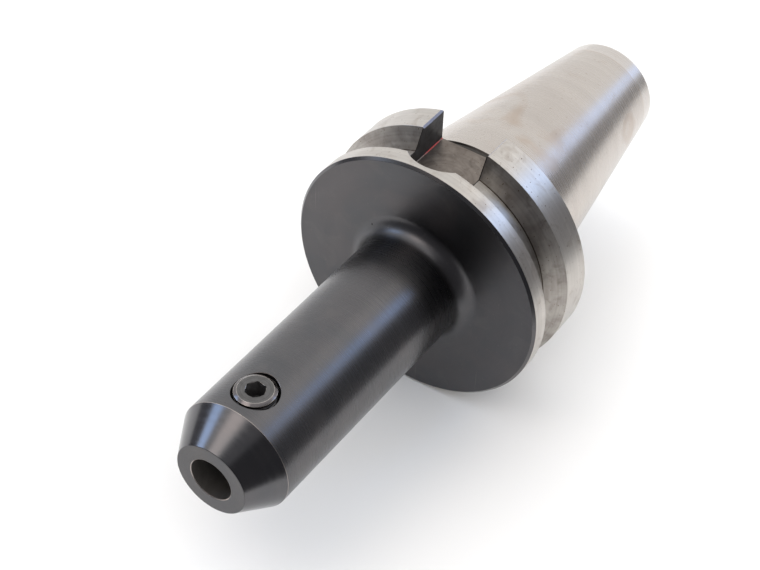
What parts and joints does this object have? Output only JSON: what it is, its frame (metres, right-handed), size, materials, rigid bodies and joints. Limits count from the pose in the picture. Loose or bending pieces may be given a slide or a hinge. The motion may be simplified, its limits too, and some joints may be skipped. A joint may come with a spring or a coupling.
{
  "type": "side-lock end mill holder",
  "caption": "Taper-shank tool holder with a slotted, grooved drive flange, long slim nose, central bore and radial clamp screw.",
  "frame": {"origin": "centre of the gauge plane, on the tool axis", "axes": "+Y along the tool axis from the gauge plane towards the small end of the taper, so the nose points to -Y; +Z radially out through one drive slot and the clamp screw; X completes the right-handed frame"},
  "size_m": [0.1, 0.2542, 0.1],
  "materials": {
    "tool_steel": "black oxide on the nose and front face, ground bare on the taper, the rim lands and the groove",
    "screw_steel": "satin black oxide"
  },
  "bodies": {
    "holder": {"holder_body": "tool_steel"},
    "screw_point": {"clamp_screw_point": "screw_steel"},
    "screw_barrel": {"clamp_screw": "screw_steel"}
  },
  "joints": [
    {"name": "clamp_screw_travel", "type": "slide", "parent": "holder", "child": "screw_point", "axis": [0, 0, 1], "range_m": [-0.0024, 0.008]},
    {"name": "clamp_screw_turn", "type": "hinge", "parent": "screw_point", "child": "screw_barrel", "pos_m": [0, -0.1287, 0.0088], "axis": [0, 0, 1], "range_deg": [-612, 2040]}
  ],
  "couplings": [
    {"joint": "clamp_screw_travel", "follows": "clamp_screw_turn", "m_per_rad": 0.00022458}
  ]
}
